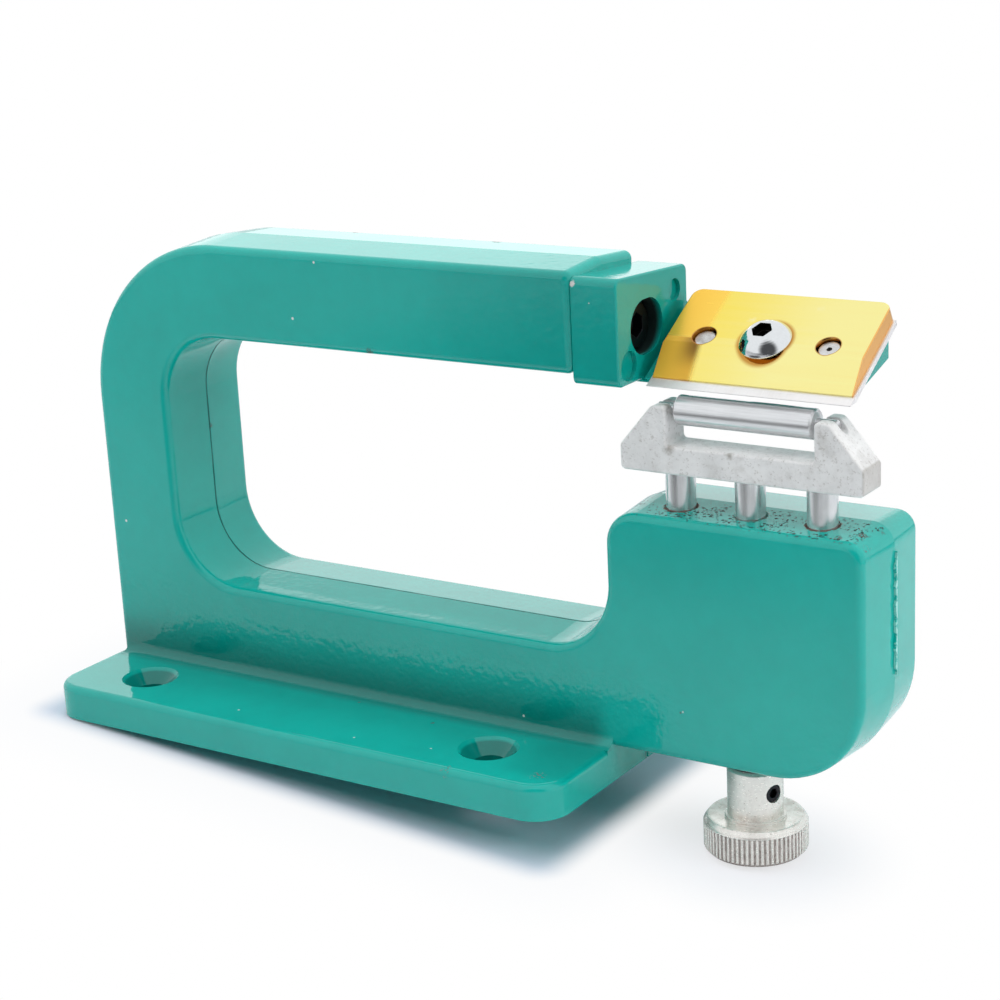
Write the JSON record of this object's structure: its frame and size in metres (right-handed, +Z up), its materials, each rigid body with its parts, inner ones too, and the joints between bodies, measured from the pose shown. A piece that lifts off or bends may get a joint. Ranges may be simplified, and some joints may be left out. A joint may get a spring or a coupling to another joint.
{
  "type": "leather splitting machine",
  "caption": "Bench leather splitter: C-shaped cast frame with a fixed sloping blade over a roller on a yoke that a knurled knob raises and lowers.",
  "frame": {"origin": "centre of the rectangle of four base screw holes, on the underside of the base", "axes": "+X along the base from the column to the roller, +Y from the knob's side to the back of the frame, +Z up, square to the underside of the base"},
  "size_m": [0.2519, 0.101, 0.1559],
  "materials": {
    "frame_casting": "glossy teal enamel over a cast aluminium alloy frame",
    "blade_head": "glossy teal enamel over a cast aluminium alloy head",
    "head_screw": "blackened steel",
    "head_spring_washer": "blackened spring steel",
    "head_dowel_upper": "ground steel",
    "head_dowel_lower": "ground steel",
    "blade": "hardened and ground tool steel",
    "clamp_plate": "polished gold-coloured plate",
    "clamp_screw": "polished nickel-plated steel",
    "blade_pin_left": "polished steel",
    "blade_pin_right": "polished steel",
    "roller_yoke": "machined steel, lightly stained",
    "roller": "ground steel",
    "guide_post_left": "ground steel",
    "guide_post_right": "ground steel",
    "lift_post": "ground steel",
    "lead_screw": "turned steel",
    "thrust_washer": "blackened steel",
    "knob": "turned and knurled aluminium",
    "knob_set_screw": "blackened steel"
  },
  "bodies": {
    "frame": {"frame_casting": "frame_casting", "blade_head": "blade_head", "head_screw": "head_screw", "head_spring_washer": "head_spring_washer", "head_dowel_upper": "head_dowel_upper", "head_dowel_lower": "head_dowel_lower", "blade": "blade", "clamp_plate": "clamp_plate", "clamp_screw": "clamp_screw", "blade_pin_left": "blade_pin_left", "blade_pin_right": "blade_pin_right"},
    "screw": {"lead_screw": "lead_screw", "thrust_washer": "thrust_washer", "knob": "knob", "knob_set_screw": "knob_set_screw"},
    "yoke": {"roller_yoke": "roller_yoke", "guide_post_left": "guide_post_left", "guide_post_right": "guide_post_right", "lift_post": "lift_post"},
    "roller": {"roller": "roller"}
  },
  "joints": [
    {"name": "knob_spin", "type": "hinge", "parent": "frame", "child": "screw", "pos_m": [0.1285, -0.00705, 0], "axis": [0, 0, 1], "range_deg": [-902, 4052]},
    {"name": "roller_lift", "type": "slide", "parent": "frame", "child": "yoke", "axis": [0, 0, 1], "range_m": [-0.009, 0.002]},
    {"name": "roller_spin", "type": "hinge", "parent": "yoke", "child": "roller", "pos_m": [0.1279, -0.00705, 0.1034], "axis": [1, 0, 0], "continuous": true}
  ],
  "couplings": [
    {"joint": "knob_spin", "follows": "roller_lift", "rad_per_m": -7854}
  ]
}
